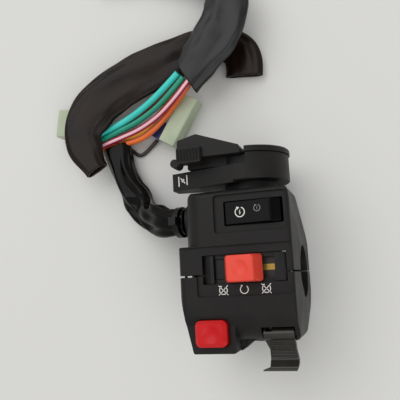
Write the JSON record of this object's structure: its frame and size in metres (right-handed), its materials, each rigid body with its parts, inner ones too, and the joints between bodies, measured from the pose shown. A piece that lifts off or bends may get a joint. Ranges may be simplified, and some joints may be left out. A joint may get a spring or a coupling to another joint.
{
  "type": "handlebar switch cluster",
  "caption": "Clamp-on left handlebar switch cluster with starter rocker, engine stop slider, horn button, finger trigger, choke lever and a sleeved wiring loom.",
  "frame": {"origin": "centre of the handlebar bore, at the middle of its length", "axes": "+X along the handlebar to the right of the switch face, +Y up towards the choke lever, +Z out of the switch face"},
  "size_m": [0.1271, 0.2146, 0.0511],
  "materials": {
    "case_plastic": "moulded, fine grain",
    "gloss_black_plastic": "polished",
    "red_knob_plastic": "satin moulded",
    "red_button_plastic": "satin moulded",
    "frame_plastic": "moulded",
    "laminate": "pressed paper laminate",
    "zinc_steel": "zinc plated",
    "spring_steel": "drawn wire",
    "brass": "stamped",
    "black_rubber": "moulded",
    "sleeve_pvc": "soft extruded",
    "wire_turquoise": "extruded",
    "wire_green": "extruded",
    "wire_brown": "extruded",
    "wire_crimson": "extruded",
    "wire_orange": "extruded",
    "wire_yellow": "extruded",
    "nylon_natural": "moulded",
    "nylon_navy": "moulded",
    "lead_pvc": "extruded"
  },
  "bodies": {
    "housing": {"upper_case": "case_plastic", "lower_case": "case_plastic", "front_clamp_screw": "zinc_steel", "rear_clamp_screw": "zinc_steel", "switch_plate_screws": "zinc_steel", "stop_switch_guide_frame": "frame_plastic", "stop_switch_base_plate": "laminate", "stop_switch_fixed_contacts": "brass", "starter_rocker_pin": "zinc_steel", "starter_base_plate": "laminate", "starter_rivets": "brass", "horn_return_spring": "spring_steel", "horn_base_plate": "laminate", "horn_rivets": "brass", "trigger_pin": "zinc_steel", "trigger_base_plate": "laminate", "trigger_rivets": "brass", "choke_housing": "case_plastic", "choke_lid": "case_plastic", "choke_pivot_screw": "zinc_steel", "choke_spring_washer": "spring_steel", "choke_mounting_screws": "zinc_steel", "harness_grommet": "black_rubber", "harness_tie": "frame_plastic", "harness_sleeve_a": "sleeve_pvc", "harness_sleeve_b": "sleeve_pvc", "harness_sleeve_c": "sleeve_pvc", "wire_turquoise": "wire_turquoise", "wire_green": "wire_green", "wire_brown": "wire_brown", "wire_crimson": "wire_crimson", "wire_orange": "wire_orange", "wire_yellow": "wire_yellow", "lead_right": "lead_pvc", "connector_left": "nylon_natural", "connector_right": "nylon_natural", "connector_end": "nylon_natural", "connector_small": "nylon_navy"},
    "kill_slider": {"stop_switch_knob": "red_knob_plastic", "stop_switch_slider": "frame_plastic", "stop_switch_bridge_contact": "brass", "stop_switch_detent_ball": "spring_steel", "stop_switch_detent_spring": "spring_steel"},
    "starter": {"starter_rocker": "gloss_black_plastic", "starter_rocker_spring": "spring_steel", "starter_contact_bridge": "brass"},
    "horn": {"horn_button": "red_button_plastic", "horn_contact_disc": "brass"},
    "trigger": {"trigger_lever": "gloss_black_plastic", "trigger_spring": "spring_steel", "trigger_contact_strip": "brass"},
    "choke": {"choke_lever": "case_plastic", "choke_cable_drum": "frame_plastic"}
  },
  "joints": [
    {"name": "kill_slide", "type": "slide", "parent": "housing", "child": "kill_slider", "axis": [1, 0, 0], "range_m": [-0.0086, 0.0086]},
    {"name": "starter_press", "type": "hinge", "parent": "housing", "child": "starter", "pos_m": [0.0176, 0.02455, 0.0196], "axis": [0, -1, 0], "range_deg": [0, 6], "stiffness_Nm_per_rad": 0.05, "springref_deg": -17.19},
    {"name": "horn_press", "type": "slide", "parent": "housing", "child": "horn", "axis": [0, 0, -1], "range_m": [0, 0.0022], "stiffness_N_per_m": 400, "springref_m": -0.004, "deforming": ["horn_return_spring"]},
    {"name": "trigger_pull", "type": "hinge", "parent": "housing", "child": "trigger", "pos_m": [0.0153, -0.024, 0.0183], "axis": [-1, 0, 0], "range_deg": [0, 14], "stiffness_Nm_per_rad": 0.05, "springref_deg": -17.19},
    {"name": "choke_turn", "type": "hinge", "parent": "housing", "child": "choke", "pos_m": [0.0054, 0.048, 0.005], "axis": [0, -1, 0], "range_deg": [0, 60]}
  ]
}
